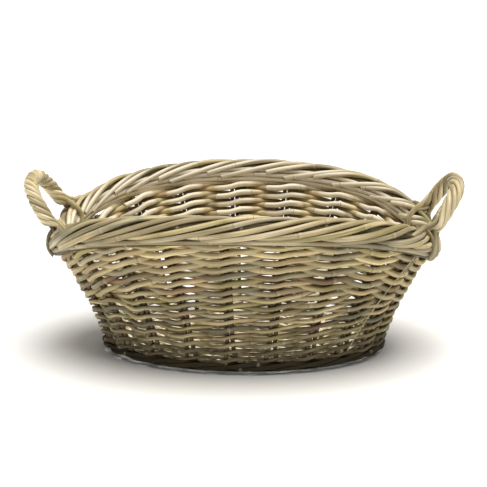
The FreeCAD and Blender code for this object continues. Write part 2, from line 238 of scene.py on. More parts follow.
def quadraticSpline(corners, count, lastCount=None):
    # a smooth line from the first corner to the last that rounds the others, with count points for each
    corners = np.asarray(corners, float)
    middles = (corners[1:] + corners[:-1]) / 2
    starts = np.vstack([corners[:1], middles[1:]])
    ends = np.vstack([middles[:-1], corners[-1:]])
    pieces = []
    for number, corner in enumerate(corners[1:-1]):
        last = number == len(corners) - 3
        t = np.linspace(0, 1, lastCount or count if last else count, endpoint=last)[:, None]
        pieces.append((1 - t) ** 2 * starts[number] + 2 * t * (1 - t) * corner + t * t * ends[number + 1])
    return np.vstack(pieces)


def resample(line, step):
    # columns beyond the third are values that go along with the points
    along = np.append(0, np.cumsum(np.linalg.norm(np.diff(line[:, :3], axis=0), axis=1)))
    spots = np.linspace(0, along[-1], max(3, int(round(along[-1] / step)) + 1))
    return np.stack([np.interp(spots, along, column) for column in line.T], axis=1)


def carriedFrame(line):
    # a side and an up direction at each point, carried along without twist
    tangents = np.gradient(line, axis=0)
    tangents /= np.linalg.norm(tangents, axis=1)[:, None]
    helper = np.array([0, 0, 1.0]) if abs(tangents[0][2]) < 0.9 else np.array([0, 1.0, 0])
    side = np.cross(helper, tangents[0])
    sides = []
    for tangent in tangents:
        side = side - tangent * side.dot(tangent)
        side /= np.linalg.norm(side)
        sides.append(side)
    sides = np.array(sides)
    return tangents, sides, np.cross(tangents, sides)


def paintedShading(across, away):
    # away points to where the cane is open to the room: painted shade goes on the other side, for the shade
    # between the canes.
    # Its fourth number is 1 inside the basket, where the painted shade is lighter, and the value goes below 0
    # where painted light is laid on
    facing = (across * away[:, None, :3]).sum(-1)
    inside = away[:, 3:] if away.shape[1] > 3 else 0.0
    litShare = 0.5 * inside * np.clip(facing + 0.4, 0, 1)
    return np.clip(0.5 - 0.5 * facing, 0, 1) * (1 - 0.75 * inside) - litShare


def addCane(bundle, line, thickness, rng, tone=None, slant=None, away=None):
    tangents, sides, ups = carriedFrame(line)
    along = np.append(0, np.cumsum(np.linalg.norm(np.diff(line, axis=0), axis=1)))
    start = rng.uniform(0, 30)
    growth = (along + start) % cane["nodeSpacing"] - cane["nodeSpacing"] / 2
    swell = 1 + cane["nodeSwell"] * np.exp(-(growth / cane["nodeWidth"]) ** 2)
    radius = thickness / 2 * swell * (1 + slowWave(rng, along, 0.11, cane["unevenness"]))
    count = cane["sides"]
    turn = np.linspace(0, 2 * math.pi, count, endpoint=False) + rng.uniform(0, 2 * math.pi)
    out = 1 + cane["flatness"] * np.cos(2 * turn + rng.uniform(0, 2 * math.pi))
    across = np.cos(turn)[None, :, None] * sides[:, None, :] + np.sin(turn)[None, :, None] * ups[:, None, :]
    rings = line[:, None, :] + across * (radius[:, None] * out[None, :])[:, :, None]
    # painted shade for each point, and painted light where it is below 0
    soil = np.full(rings.shape[:2], cane["plainShading"]) if away is None else paintedShading(across, away)
    slope = cane["slant"] if slant is None else slant
    lean = slope * np.cos(turn - rng.uniform(0, 2 * math.pi))
    rings[0] += tangents[0] * (lean * radius[0])[:, None]
    rings[-1] += tangents[-1] * (lean * radius[-1])[:, None]
    coord = np.empty(rings.shape)
    coord[:, :, 0] = radius[:, None] * np.cos(turn)[None, :]
    coord[:, :, 1] = radius[:, None] * np.sin(turn)[None, :]
    coord[:, :, 2] = (along + start)[:, None]
    length = len(line)
    first = bundle["size"]
    index = np.arange(length * count).reshape(length, count) + first
    nextSide = np.roll(index, -1, axis=1)
    quads = np.stack([index[:-1], nextSide[:-1], nextSide[1:], index[1:]], axis=-1).reshape(-1, 4)
    bundle["quads"].append(quads)
    points = [rings.reshape(-1, 3)]
    coords = [coord.reshape(-1, 3)]
    cut = [np.zeros(length * count)]
    shadings = [soil.ravel()]
    size = length * count
    for end, order in ((0, -1), (-1, 1)):
        rim = np.arange(count) + first + size
        middle = first + size + count
        pairs = np.stack([rim, np.roll(rim, -1), np.full(count, middle)], axis=-1)
        bundle["caps"].append(pairs[:, ::order])
        points += [rings[end], rings[end].mean(0)[None]]
        coords += [coord[end], coord[end].mean(0)[None]]
        cut.append(np.ones(count + 1))
        shadings.append(np.append(soil[end], soil[end].mean()))
        size += count + 1
    tone = rng.uniform(0, 1, 3) if tone is None else np.asarray(tone)
    bundle["points"] += points
    bundle["coord"] += coords
    bundle["cut"] += cut
    bundle["soil"] += shadings
    bundle["tone"].append(np.repeat(tone[None], size, axis=0))
    bundle["size"] += size


def makePiece(name, bundle, material, node=None):
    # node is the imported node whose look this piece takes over
    mesh = bpy.data.meshes.new(name)
    faces = np.concatenate(bundle["quads"]).tolist() + np.concatenate(bundle["caps"]).tolist()
    mesh.from_pydata(np.concatenate(bundle["points"]).tolist(), [], faces)
    for key in ("coord", "tone"):
        layer = mesh.attributes.new("cane" + key.capitalize(), "FLOAT_VECTOR", "POINT")
        layer.data.foreach_set("vector", np.concatenate(bundle[key]).astype(np.float32).ravel())
    # the second holds painted shade, and painted light where it is below 0
    for key in ("cut", "soil"):
        layer = mesh.attributes.new("cane" + key.capitalize(), "FLOAT", "POINT")
        layer.data.foreach_set("value", np.concatenate(bundle[key]).astype(np.float32))
    mesh.polygons.foreach_set("use_smooth", [True] * len(faces))
    mesh.materials.append(material)
    piece = bpy.data.objects.new(name, mesh)
    bpy.context.scene.collection.objects.link(piece)
    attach(piece, "root")
    if node:
        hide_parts(node)


# finishes

def addNode(tree, kind, inputs=None, **settings):
    item = tree.nodes.new(kind)
    for name, value in settings.items():
        setattr(item, name, value)
    for name, value in (inputs or {}).items():
        if isinstance(value, bpy.types.NodeSocket):
            tree.links.new(value, item.inputs[name])
        else:
            item.inputs[name].default_value = value
    return item


def calc(tree, operation, *values, clamp=False):
    item = addNode(tree, "ShaderNodeMath", dict(enumerate(values)), operation=operation, use_clamp=clamp)
    return item.outputs[0]


def remap(tree, value, low, high, toLow=0.0, toHigh=1.0):
    inputs = {"Value": value, "From Min": low, "From Max": high, "To Min": toLow, "To Max": toHigh}
    return addNode(tree, "ShaderNodeMapRange", inputs, interpolation_type="SMOOTHSTEP").outputs[0]


def mixColor(tree, share, one, other, blend="MIX"):
    item = tree.nodes.new("ShaderNodeMix")
    item.data_type = "RGBA"
    item.blend_type = blend
    for number, value in ((0, share), (6, one), (7, other)):
        if isinstance(value, bpy.types.NodeSocket):
            tree.links.new(value, item.inputs[number])
        else:
            item.inputs[number].default_value = value
    return item.outputs[2]


def newGroup(name, inputs, outputs):
    group = bpy.data.node_groups.new(name, "ShaderNodeTree")
    for label, kind in inputs:
        group.interface.new_socket(name=label, in_out="INPUT", socket_type="NodeSocket" + kind)
    for label, kind in outputs:
        group.interface.new_socket(name=label, in_out="OUTPUT", socket_type="NodeSocket" + kind)
    return group, group.nodes.new("NodeGroupInput").outputs, group.nodes.new("NodeGroupOutput").inputs


def stretched(group, coord, share):
    # draws a pattern out along the cane
    scaled = {0: coord, 1: (1, 1, share)}
    return addNode(group, "ShaderNodeVectorMath", scaled, operation="MULTIPLY").outputs[0]


def grainGroup():
    # long fibres and colour streaks that run with the cane
    inputs = [("Coord", "Vector"), ("Streak Scale", "Float"), ("Fibre Scale", "Float")]
    group, given, made = newGroup("caneGrain", inputs, [("Streak", "Float"), ("Fibre", "Float")])
    for label, stretch, detail in (("Streak", 0.035, 3.0), ("Fibre", 0.02, 2.0)):
        long = stretched(group, given["Coord"], stretch)
        noise = {"Vector": long, "Detail": detail, "Scale": given[label + " Scale"]}
        group.links.new(addNode(group, "ShaderNodeTexNoise", noise).outputs[0], made[label])
    return group


def ringGroup():
    # growth rings: a thin dark line with a paler collar beside it
    inputs = [("Coord", "Vector"), ("Spacing", "Float"), ("Width", "Float")]
    group, given, made = newGroup("caneRings", inputs, [("Ring", "Float"), ("Collar", "Float")])
    along = addNode(group, "ShaderNodeSeparateXYZ", {0: given["Coord"]}).outputs[2]
    waver = addNode(group, "ShaderNodeTexNoise", {"Vector": given["Coord"], "Scale": 260.0}).outputs[0]
    moved = calc(group, "MULTIPLY_ADD", waver, 0.0022, along)
    half = calc(group, "MULTIPLY", given["Spacing"], 0.5)
    place = calc(group, "SUBTRACT", calc(group, "MODULO", moved, given["Spacing"]), half)
    near = calc(group, "DIVIDE", calc(group, "ABSOLUTE", place), given["Width"])
    shifted = calc(group, "ABSOLUTE", calc(group, "SUBTRACT", place, 0.0035))
    beside = calc(group, "DIVIDE", shifted, given["Width"])
    group.links.new(remap(group, near, 1.0, 0.3), made["Ring"])
    group.links.new(remap(group, beside, 5.0, 0.5), made["Collar"])
    return group


def ageGroup():
    # bark left on, water stains and dark specks
    inputs = [("Coord", "Vector"), ("Patch Scale", "Float"), ("Speck Scale", "Float")]
    group, given, made = newGroup("caneAge", inputs, [("Patch", "Float"), ("Speck", "Float")])
    long = stretched(group, given["Coord"], 0.22)
    wide = {"Vector": long, "Scale": given["Patch Scale"], "Detail": 4.0, "Roughness": 0.6}
    small = {"Vector": given["Coord"], "Scale": given["Speck Scale"], "Detail": 2.0}
    patch = addNode(group, "ShaderNodeTexNoise", wide).outputs[0]
    speck = addNode(group, "ShaderNodeTexNoise", small).outputs[0]
    group.links.new(remap(group, patch, 0.5, 0.72), made["Patch"])
    group.links.new(remap(group, speck, 0.66, 0.76), made["Speck"])
    return group


grain = grainGroup()
rings = ringGroup()
age = ageGroup()

caneColors = {
    "grey": (0.31, 0.275, 0.165, 1),
    "khaki": (0.39, 0.315, 0.165, 1),
    "olive": (0.31, 0.26, 0.105, 1),
    "straw": (0.53, 0.43, 0.235, 1),
    "cream": (0.68, 0.58, 0.375, 1),
    "tan": (0.43, 0.32, 0.165, 1),
    "brown": (0.25, 0.165, 0.08, 1),
    "pith": (0.74, 0.66, 0.47, 1),
}

# levels: the darkest and palest cane; the last pair: how dark the painted shade on a cane's shaded side gets,
# on the least and on the most shaded cane
finishes = {
    "siding": {"palette": ("brown", "grey", "khaki", "olive", "straw", "khaki", "tan", "grey", "straw"),
               "rough": 0.46, "stain": 0.5, "bump": 0.35, "levels": (0.55, 1.6), "shadeDepth": (0.6, 0.97)},
    "border": {"palette": ("khaki", "straw", "olive", "straw", "cream", "khaki", "straw", "grey", "cream"),
               "rough": 0.4, "stain": 0.4, "bump": 0.3, "levels": (0.62, 1.28), "shadeDepth": (0.88, 0.97)},
    "handle": {"palette": ("straw", "cream", "straw", "khaki", "cream", "straw", "cream", "olive", "cream"),
               "rough": 0.36, "stain": 0.25, "bump": 0.25, "levels": (0.85, 1.3), "shadeDepth": (0.6, 0.8)},
    "base": {"palette": ("brown", "khaki", "tan", "grey", "brown", "khaki", "brown", "straw", "grey"),
             "rough": 0.62, "stain": 0.75, "bump": 0.45, "levels": (0.28, 0.8), "shadeDepth": (0.8, 0.95)},
    # painted shade: the stakes' low levels stand for the shade they sit in between the rows
    "stake": {"palette": ("brown", "tan", "brown", "grey", "brown", "khaki", "brown", "tan", "brown"),
              "rough": 0.62, "stain": 0.7, "bump": 0.4, "levels": (0.3, 0.6), "shadeDepth": (1.0, 1.0)},
    "stick": {"palette": ("tan", "khaki", "straw", "tan", "khaki", "brown", "tan", "khaki", "straw"),
              "rough": 0.58, "stain": 0.55, "bump": 0.4, "levels": (0.7, 1.1), "shadeDepth": (1.0, 1.0)},
}


def caneMaterial(name, look, turned=None):
    # turned lays the grain along a fixed direction, for a rod that has no lengthwise coordinate of its own
    material = bpy.data.materials.new(name)
    material.use_nodes = True
    tree = material.node_tree
    tree.nodes.clear()
    if turned is None:
        coord = addNode(tree, "ShaderNodeAttribute", attribute_name="caneCoord").outputs["Vector"]
        toneVector = addNode(tree, "ShaderNodeAttribute", attribute_name="caneTone").outputs["Vector"]
        tone = addNode(tree, "ShaderNodeSeparateXYZ", {0: toneVector}).outputs
        hue, shade, shadeWeight = tone[0], tone[1], tone[2]
        cut = addNode(tree, "ShaderNodeAttribute", attribute_name="caneCut").outputs["Fac"]
        shadingAttr = addNode(tree, "ShaderNodeAttribute", attribute_name="caneSoil").outputs["Fac"]
    else:
        place = addNode(tree, "ShaderNodeTexCoord").outputs["Object"]
        coord = addNode(tree, "ShaderNodeMapping", {"Vector": place, "Rotation": turned}).outputs[0]
        wide = addNode(tree, "ShaderNodeTexNoise", {"Vector": place, "Scale": 17.0}).outputs[0]
        hue = remap(tree, wide, 0.3, 0.7)
        close = addNode(tree, "ShaderNodeTexNoise", {"Vector": place, "Scale": 41.0}).outputs[0]
        shade = remap(tree, close, 0.3, 0.7)
        cut, shadingAttr, shadeWeight = None, None, None
    scales = {"Coord": coord, "Streak Scale": 420.0, "Fibre Scale": 2600.0}
    fibres = addNode(tree, "ShaderNodeGroup", scales, node_tree=grain)
    sizes = {"Coord": coord, "Spacing": cane["nodeSpacing"], "Width": 0.0007}
    nodes = addNode(tree, "ShaderNodeGroup", sizes, node_tree=rings)
    scales = {"Coord": coord, "Patch Scale": 75.0, "Speck Scale": 900.0}
    marks = addNode(tree, "ShaderNodeGroup", scales, node_tree=age)

    slow = addNode(tree, "ShaderNodeSeparateXYZ", {0: coord}).outputs[2]
    wander = {"W": slow, "Scale": 9.0, "Detail": 1.0}
    drift = addNode(tree, "ShaderNodeTexNoise", wander, noise_dimensions="1D")
    position = calc(tree, "ADD", hue, remap(tree, drift.outputs[0], 0.2, 0.8, -0.13, 0.13), clamp=True)
    palette = addNode(tree, "ShaderNodeValToRGB", {"Fac": position})
    ramp = palette.color_ramp
    names = look["palette"]
    while len(ramp.elements) < len(names):
        ramp.elements.new(0.5)
    for number, label in enumerate(names):
        ramp.elements[number].position = number / (len(names) - 1)
        ramp.elements[number].color = caneColors[label]
    color = palette.outputs[0]
    level = remap(tree, shade, 0.0, 1.0, *look["levels"])
    streak = remap(tree, fibres.outputs["Streak"], 0.32, 0.68, 0.76, 1.2)
    fine = remap(tree, fibres.outputs["Fibre"], 0.3, 0.7, 0.93, 1.05)
    value = calc(tree, "MULTIPLY", calc(tree, "MULTIPLY", level, streak), fine)
    tint = addNode(tree, "ShaderNodeCombineColor", {0: value, 1: value, 2: value}).outputs[0]
    color = mixColor(tree, 1.0, color, tint, "MULTIPLY")
    stain = calc(tree, "MULTIPLY", marks.outputs["Patch"], look["stain"])
    color = mixColor(tree, stain, color, (0.62, 0.52, 0.40, 1), "MULTIPLY")
    if shadingAttr is not None:
        # painted shade where the shading value is high, painted light where it is below 0
        shadeShare = remap(tree, shadingAttr, 0.3, 0.85)
        # painted light: canes open to the light inside the basket turn pale cream
        litShare = remap(tree, shadingAttr, 0.0, -0.5)
        color = mixColor(tree, calc(tree, "MULTIPLY", litShare, 0.9), color, (0.85, 0.76, 0.58, 1))
        # painted shade: the shaded side goes near black, deeper on canes weighted for more shade
        shadeDepth = calc(tree, "MULTIPLY", shadeShare, remap(tree, shadeWeight, 0.0, 1.0, *look["shadeDepth"]))
        color = mixColor(tree, shadeDepth, color, (0.035, 0.028, 0.014, 1))
    speck = calc(tree, "MULTIPLY", marks.outputs["Speck"], 0.55)
    color = mixColor(tree, speck, color, (0.12, 0.08, 0.04, 1))
    collar = calc(tree, "MULTIPLY", nodes.outputs["Collar"], 0.3)
    color = mixColor(tree, collar, color, (0.66, 0.56, 0.36, 1))
    color = mixColor(tree, calc(tree, "MULTIPLY", nodes.outputs["Ring"], 0.6), color, (0.09, 0.06, 0.03, 1))
    if cut is not None:
        fine = {"Vector": coord, "Scale": 1700.0, "Detail": 2.0}
        pores = addNode(tree, "ShaderNodeTexNoise", fine).outputs[0]
        face = mixColor(tree, remap(tree, pores, 0.45, 0.6), caneColors["pith"], (0.45, 0.35, 0.22, 1))
        color = mixColor(tree, cut, color, face)
    rough = remap(tree, fibres.outputs["Streak"], 0.3, 0.7, look["rough"] + 0.12, look["rough"] - 0.08)
    height = calc(tree, "MULTIPLY_ADD", fibres.outputs["Fibre"], 0.35, fibres.outputs["Streak"])
    height = calc(tree, "MULTIPLY_ADD", nodes.outputs["Ring"], -0.8, height)
    bump = addNode(tree, "ShaderNodeBump", {"Height": height, "Strength": look["bump"], "Distance": 0.0005})
    surface = {"Base Color": color, "Roughness": rough, "Normal": bump.outputs[0], "Specular IOR Level": 0.45}
    # less sheen where the shade is painted
    if shadingAttr is not None:
        surface["Specular IOR Level"] = calc(tree, "MULTIPLY_ADD", shadeDepth, -0.43, 0.45)
    shader = addNode(tree, "ShaderNodeBsdfPrincipled", surface)
    addNode(tree, "ShaderNodeOutputMaterial", {"Surface": shader.outputs[0]})
    return material


sidingMaterial = caneMaterial("sidingCane", finishes["siding"])
borderMaterial = caneMaterial("borderCane", finishes["border"])
handleMaterial = caneMaterial("handleCane", finishes["handle"])
baseMaterial = caneMaterial("baseCane", finishes["base"])
stakeMaterial = caneMaterial("stakeCane", finishes["stake"], turned=(0, 0, 0))
crossStickMaterial = caneMaterial("crossStickCane", finishes["stick"], turned=(math.pi / 2, 0, 0))
longStickMaterial = caneMaterial("longStickCane", finishes["stick"], turned=(0, math.pi / 2, 0))
print("finishes made")


# the siding, row by row

siding = {
    "seed": 11,
    "lowCane": 0.0049,      # cane thickness at the bottom and at the top of the wall
    "highCane": 0.0090,
    "caneSpread": 0.0005,
    "samples": 12,          # points from one stake to the next
    "tuck": 0.36,           # how far a cane's end runs past its stake
    "tuckDepth": 0.0050,    # and how far in it goes there
    "wobble": 0.0006,       # how unevenly it lies
    "lowTwist": 1.7,        # how sharply two rods change sides at a stake, at the bottom
    "highTwist": 2.7,       # and at the top
    "crossing": 0.26,       # how far two rods part where they cross, as a share of the row's height
    "lowDrop": 0.0062,      # how much lower a rod runs inside the wall than outside it, at the bottom
    "highDrop": 0.0015,     # and at the top
}


def weaverLine(row, phase, places, thickness, rng):
    # a rod passes in front of one stake and behind the next, and crosses its partner between them
    angle = stakeAt(places)
    z = rowHeight(row, angle)
    pitch = rowThicknessAt(angle)
    front = np.cos(math.pi * (places + phase))
    up = min(1, 1.4 * row / rowCount)
    twist = siding["lowTwist"] + (siding["highTwist"] - siding["lowTwist"]) * up
    drop = siding["lowDrop"] + (siding["highDrop"] - siding["lowDrop"]) * up
    cross = np.tanh(twist * np.sin(math.pi * (places + phase)))
    reach = wall["stakeRadius"] + thickness / 2 + 0.0002
    along = places * stakeStep
    out = reach * front * (1 + slowWave(rng, along, 0.17, 0.05))
    out = out + slowWave(rng, along, 0.31, siding["wobble"] * 0.6)
    late = smoothStep((places - (places[-1] - 2 * siding["tuck"])) / siding["tuck"])
    out = out - siding["tuckDepth"] * late
    lift = siding["crossing"] * pitch * cross - drop * (1 - front) / 2
    lift = lift + slowWave(rng, along, 0.23, siding["wobble"])
    lean = wallLean(angle, z)
    line = wallPoint(angle, z + lift * np.cos(lean) - out * np.sin(lean), out / np.cos(lean))
    outwards = np.stack([np.cos(angle) * np.cos(lean), np.sin(angle) * np.cos(lean), -np.sin(lean)], axis=1)
    # painted shade and painted light: the bottom rows are shaded all over outside the wall and painted
    # lighter all over inside it, and higher up both depend more on which side of the cane it is
    sideShaded = smoothStep((row - 1) / 5.5)
    sideLit = smoothStep((row - 3) / 6)
    bare = out / reach
    turned = np.where(bare > 0, bare * (0.35 + 0.65 * sideShaded) - 0.45 * (1 - sideShaded), bare * (0.1 + 0.9 * sideLit))
    return line, np.column_stack([outwards * turned[:, None], np.clip(-bare * 2, 0, 1.33 - 0.33 * sideLit)])


def placesBetween(first, last):
    count = max(4, int(round((last - first) * siding["samples"])) + 1)
    return np.linspace(first, last, count)


def rowThickness(row, rng):
    share = row / rowCount
    middle = siding["lowCane"] + (siding["highCane"] - siding["lowCane"]) * share
    return middle + rng.uniform(-1, 1) * siding["caneSpread"]


def sidingTone(row, rng):
    # painted shade: the lower canes are darker and browner, and the shade painted on them deeper, towards the
    # floor
    share = row / rowCount
    return (rng.uniform(0, 1), np.clip(rng.uniform(-0.1, 0.55) + 0.6 * share, 0, 1), 1 - share)


def weave(bundle, row, phase, first, last, rng):
    # one cane, from one stake behind which it is tucked to another
    thickness = rowThickness(row, rng)
    places = placesBetween(first - siding["tuck"], last + siding["tuck"])
    line, away = weaverLine(row, phase, places, thickness, rng)
    addCane(bundle, line, thickness, rng, sidingTone(row, rng), away=away)


def fullRow(bundle, row, rng):
    for phase in (0, 1):
        # a cane ends behind a stake, and the next one starts there
        joints = sorted(rng.choice(np.arange(0, stakeCount // 2), 2, replace=False) * 2 + 1 - phase)
        for first, last in zip(joints, joints[1:] + [joints[0] + stakeCount]):
            weave(bundle, row, phase, first, last, rng)


def packedRow(bundle, row, middle, rng):
    # a short row on one long side, from the stake where it fits in to the one where it runs out
    quarter = np.linspace(middle - stakeCount / 4, middle + stakeCount / 4, 400)
    fits = quarter[rowShares(stakeAt(quarter))[row] > 0.5]
    for phase in (0, 1):
        first, last = (round((fits[end] + phase - 1) / 2) * 2 + 1 - phase for end in (0, -1))
        weave(bundle, row, phase, first, last, rng)


wale = {
    "seed": 5,
    "cane": 0.0058,
    "rods": 3,
    "sharpness": 2.2,       # how quickly a rod goes from the outside to the inside
    "outside": 0.9,         # more than 0 keeps it on the outside for longer
    "rise": 0.62,           # how far it goes up and down, as a share of its thickness
}


def makeUpsett():
    # the bottom row: three rods, each in front of two stakes and behind one
    rng = np.random.default_rng(wale["seed"])
    bundle = newBundle()
    places = placesBetween(0, stakeCount)
    for number in range(wale["rods"]):
        turn = 2 * math.pi * (places + number) / wale["rods"]
        angle = stakeAt(places)
        reach = wall["stakeRadius"] + wale["cane"] / 2
        out = reach * np.tanh(wale["sharpness"] * np.cos(turn) + wale["outside"])
        out = out + slowWave(rng, places * stakeStep, 0.2, 0.0004)
        z = rowHeight(0, angle) + wale["rise"] * wale["cane"] * np.sin(turn)
        outwards = np.stack([np.cos(angle), np.sin(angle), 0 * angle], axis=1)
        # painted shade: the bottom row takes its darkest level and the most shade, darkest on its outside by
        # the floor
        tone = (rng.uniform(0, 0.5), 0.0, 1.0)
        addCane(bundle, wallPoint(angle, z, out), wale["cane"], rng, tone, away=outwards * -0.5)
    makePiece("upsett_wale", bundle, baseMaterial, "upsett")


def makeSiding():
    rng = np.random.default_rng(siding["seed"])
    firstPacked = wall["levelRows"]
    firstArched = firstPacked + wall["packedRows"]
    for row in range(1, rowCount):
        if firstPacked <= row < firstArched:
            number = row - firstPacked + 1
            for side, middle in (("back", stakeCount / 4), ("front", stakeCount * 3 / 4)):
                bundle = newBundle()
                packedRow(bundle, row, middle, rng)
                node = "packing_" + side
                makePiece(f"{node}_row_{number}", bundle, sidingMaterial, node)
            continue
        band = "lower_siding" if row < firstPacked else "upper_siding"
        number = row if row < firstPacked else row - firstArched + 1
        bundle = newBundle()
        fullRow(bundle, row, rng)
        makePiece(f"{band}_row_{number}", bundle, sidingMaterial, band)


fibre = {
    "seed": 61,
    "thickness": 0.0012,
    # angle in degrees, height and distance from the stake line in metres
    "routes": [[(-30, 0.185, 0.0135), (-34, 0.150, 0.0150), (-39, 0.105, 0.0155), (-44, 0.060, 0.0150),
                (-46, 0.030, 0.0125)],
               [(-28, 0.178, 0.0130), (-31, 0.160, 0.0150), (-33, 0.135, 0.0125)]],
}


def makeFibres():
    # thin loose strips of bark on the outside
    rng = np.random.default_rng(fibre["seed"])
    bundle = newBundle()
    for route in fibre["routes"]:
        angles, heights, outs = np.array(route).T
        line = quadraticSpline(wallPoint(np.radians(angles), heights, outs), 11, 12)
        addCane(bundle, line, fibre["thickness"], rng, (0.9, 1.0, 0.0))
    makePiece("loose_fibres", bundle, sidingMaterial)


makeUpsett()
makeSiding()
makeFibres()
print("siding woven")


# the border: each stake's two ends run along inside, come out under the roll, wind up over it and stop inside

border = {
    "seed": 23,
    "cane": 0.0080,
    "caneSpread": 0.0007,
    "samples": 12,
    "swing": 0.035,             # how unevenly a rod winds
    "slip": 0.09,               # how far it strays along, in stakes
    "litFrom": 0.009,        # how far in from the stake line it is all painted lighter, as if lit
    # place along in stakes, then out from the stake line and up from the wall's top in millimetres
    "first": [(0, 0, -2), (0.2, -6, 2), (0.5, -8.5, 3.5), (0.95, -8.5, 3.8), (1.25, -2, 3.4), (1.5, 6, 3.8),
              (1.85, 11, 5.5), (2.25, 12.8, 9), (2.6, 12.6, 14.5), (2.95, 10.8, 21), (3.2, 8, 27),
              (3.45, 4, 32), (3.75, 0, 34.5), (4.05, -5, 33), (4.3, -8.8, 28.5), (4.55, -11, 23),
              (4.85, -12, 17), (5.15, -12.4, 12)],
    "second": [(0, 0, -2), (0.25, -5, 5), (0.5, -8.5, 10), (0.9, -8.8, 11), (1.15, -3, 9), (1.4, 5, 8),
               (1.75, 11, 9.5), (2.1, 12.9, 13), (2.45, 12.5, 19), (2.75, 10, 25.5), (3.0, 6.5, 30.5),
               (3.3, 1.5, 34.4), (3.6, -3.5, 34.4), (3.9, -7.8, 30.5), (4.2, -10.4, 25), (4.5, -11.4, 19)],
    # level rods inside the roll, out and up in millimetres, which show between the wound ones; the dark ones
    # stand for the shade in the gaps, as painted shade
    "coreCane": 0.0084,
    "coreLength": 4.4,          # in stakes
    "coreOverlap": 0.12,
    "coreWobble": 0.0007,
    "paleCore": [(-8.6, 7.5), (-9.4, 14.5), (-7.8, 22), (8.4, 2.8)],
    "darkCore": [(-4, 26), (2, 26), (6.5, 20.5), (7.2, 13), (3.5, 5), (2.5, 0), (-2, 12), (0, 19)],
}


def borderAway(angle, rise, out):
    # away from the roll's middle, and how far it is on the inside: these place the painted shade and the
    # painted light
    outwards = np.stack([np.cos(angle) * out, np.sin(angle) * out, rise - wall["borderHeight"] / 2], axis=1)
    outwards /= np.linalg.norm(outwards, axis=1)[:, None]
    return np.column_stack([outwards, np.clip(-out / border["litFrom"], 0, 1)])


def borderLine(stake, table, side, rng):
    table = np.array(table, float)
    places = np.linspace(0, table[-1, 0], int(table[-1, 0] * border["samples"]) + 1)
    out = np.interp(places, table[:, 0], table[:, 1]) / 1000
    rise = np.interp(places, table[:, 0], table[:, 2]) / 1000
    middle = wall["borderHeight"] / 2
    swing = 1 + slowWave(rng, places * stakeStep, 0.3, border["swing"])
    out = out * swing
    rise = middle + (rise - middle) * swing
    apart = wall["stakeRadius"] * 1.15 * side * (1 - smoothStep(places / 0.6))
    spacing = (halfLength(wall["endHeight"]) + halfWidth(wall["sideHeight"])) * math.pi / stakeCount
    slip = rng.uniform(-1, 1) * border["slip"] * smoothStep((places - 0.5) / 1.5)
    angle = stakeAt(stake + places + apart / spacing + slip)
    return smoothLine(borderPoint(angle, rise, out), 5), borderAway(angle, rise, out)


def coreRod(bundle, out, rise, dark, rng):
    # one level of rods all round, end to end
    first = rng.uniform(0, border["coreLength"])
    runs = int(stakeCount / border["coreLength"])
    for run in range(runs):
        start = first + run * stakeCount / runs
        last = start + stakeCount / runs
        places = placesBetween(start - border["coreOverlap"], last + border["coreOverlap"])
        angle = stakeAt(places)
        offset = out + slowWave(rng, places * stakeStep, 0.4, border["coreWobble"])
        height = rise + slowWave(rng, places * stakeStep, 0.4, border["coreWobble"])
        # painted shade: the dark rods take the darkest level and the most shade
        tone = (0.2, 0.0, 1.0) if dark else None
        away = borderAway(angle, height, offset)
        if dark:
            away = away * (-0.5, -0.5, -0.5, 0)     # painted shade, darkest where it faces out
        addCane(bundle, borderPoint(angle, height, offset), border["coreCane"], rng, tone, away=away)


def makeBorder():
    rng = np.random.default_rng(border["seed"])
    for quarter in range(4):
        bundle = newBundle()
        for stake in range(stakeCount * quarter // 4, stakeCount * (quarter + 1) // 4):
            for table, side in ((border["first"], -1), (border["second"], 1)):
                line, away = borderLine(stake, table, side, rng)
                thickness = border["cane"] + rng.uniform(-1, 1) * border["caneSpread"]
                addCane(bundle, line, thickness, rng, away=away)
        makePiece(f"border_roll_{quarter + 1}", bundle, borderMaterial, "border")
    for name in ("pale", "dark"):
        bundle = newBundle()
        for out, rise in border[name + "Core"]:
            coreRod(bundle, out / 1000, rise / 1000, name == "dark", rng)
        makePiece(f"border_core_{name}", bundle, borderMaterial, "border")


makeBorder()
print("border laid")


# the handles: a core with strands wound round it, which go down through and over the border

handle = {
    "seed": 31,
    "strands": 6,
    "strand": 0.0071,
    "windRadius": 0.0083,   # from the core's line to the middle of a strand
    "windFrom": 0.006,      # where the winding starts, above the border
    "footAngle": 23.5,
    "coreRadius": 0.0035,
    "legShare": 0.53,       # the bow's straight legs, and its shoulders' span and height
    "shoulderShare": 0.62,
    "shoulderHeight": 0.95,
    "step": 0.004,
    "tail": 0.0052,
    "tailSpread": 0.055,    # from a foot to the tails beside it, in radians
    # ends: where each strand goes at one foot, and half way round the list at the other foot
    "right": {"pitch": 0.105, "tails": (-1, 1),
              "ends": ("outside", "inside", "outside", "over", "inside", "middle")},
    "left": {"pitch": 0.070, "tails": (-1,),
             "ends": ("over", "over", "inside", "over", "middle", "over")},
}


def handleAxis():
    core = nodeBox("handle_core_right")
    angle = math.radians(handle["footAngle"])
    foot = borderPoint(np.array(angle), wall["borderHeight"] / 2, 0.0)
    crest = np.array([core[1][0] - handle["coreRadius"], 0, core[1][2] - handle["coreRadius"]])
    leg = foot + (crest - foot) * handle["legShare"]
    leg[1] = foot[1]
    shoulder = foot + (crest - foot) * handle["shoulderHeight"]
    shoulder[1] = foot[1] * handle["shoulderShare"]
    half = [foot, leg, shoulder]
    mirror = [point * (1, -1, 1) for point in half]
    return resample(quadraticSpline(half + [crest] + mirror[::-1], 40), handle["step"]), angle


def woundStrand(axis, number, pitch, rng):
    tangents, sides, ups = carriedFrame(axis)
    along = np.append(0, np.cumsum(np.linalg.norm(np.diff(axis, axis=0), axis=1)))
    turn = -2 * math.pi * (along / pitch + number / handle["strands"])
    turn = turn + slowWave(rng, along, 0.2, 0.06)
    radius = handle["windRadius"] * (1 + slowWave(rng, along, 0.15, 0.03))
    across = np.cos(turn)[:, None] * sides + np.sin(turn)[:, None] * ups
    return axis + across * radius[:, None], across


